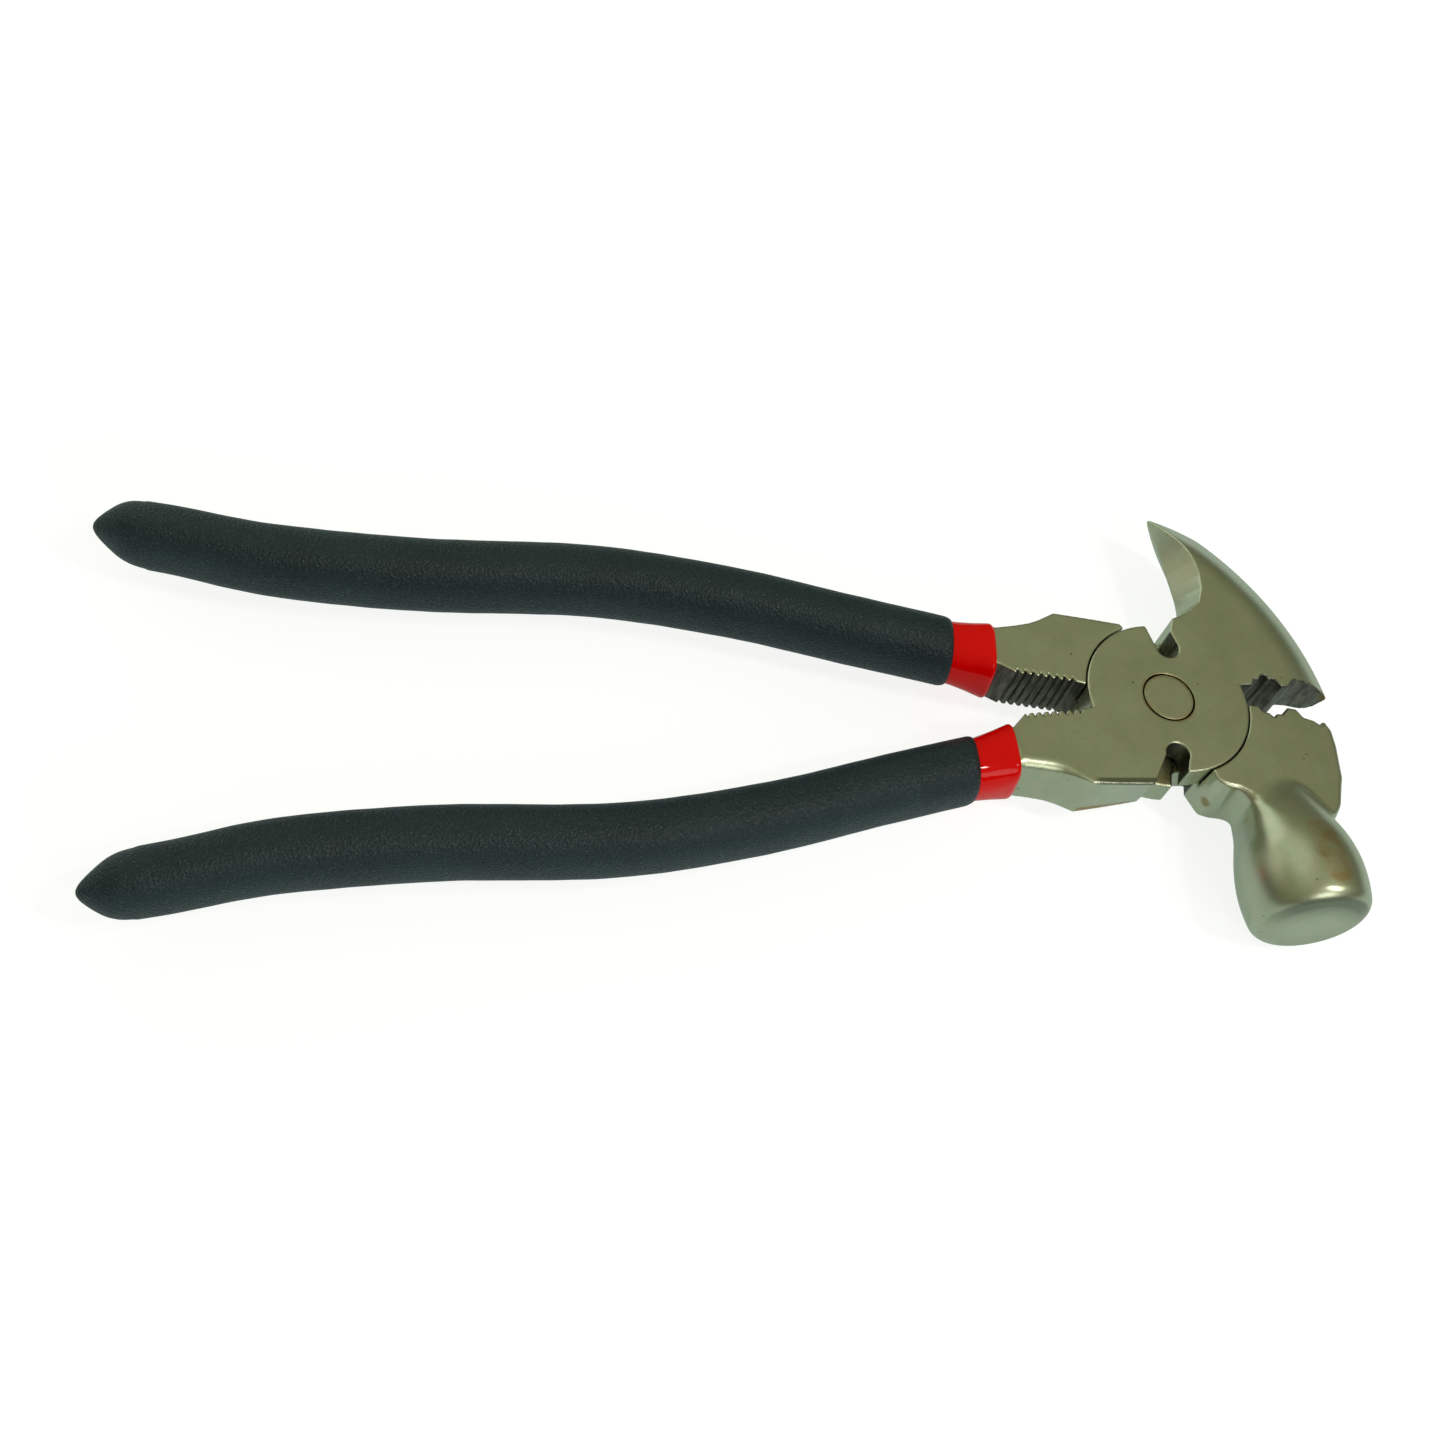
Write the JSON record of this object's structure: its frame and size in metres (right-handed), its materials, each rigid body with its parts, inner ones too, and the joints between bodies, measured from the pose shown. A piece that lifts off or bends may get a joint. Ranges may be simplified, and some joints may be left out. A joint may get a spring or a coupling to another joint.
{
  "type": "fencing pliers",
  "caption": "Hand pliers with wire cutters, gripping jaws, a staple spike and a hammer head, on two long dipped handles.",
  "frame": {"origin": "on the pivot axis, at the rear face of the joint", "axes": "+X from the pivot towards the jaws, +Y towards the spike, +Z along the pivot axis out of the front face"},
  "size_m": [0.2694, 0.1057, 0.0272],
  "materials": {
    "steel": "satin nickel-plated forging",
    "red_dip": "glossy dipped vinyl",
    "black_grip": "matt textured dipped vinyl"
  },
  "bodies": {
    "spike_side": {"spike_half": "steel", "pivot_rivet": "steel", "spike_half_red_dip": "red_dip", "spike_half_grip": "black_grip"},
    "hammer_side": {"hammer_half": "steel", "hammer_half_red_dip": "red_dip", "hammer_half_grip": "black_grip"}
  },
  "joints": [
    {"name": "pivot", "type": "hinge", "parent": "spike_side", "child": "hammer_side", "pos_m": [0, 0, 0.0065], "axis": [0, 0, -1], "range_deg": [-10.4, 30]}
  ]
}
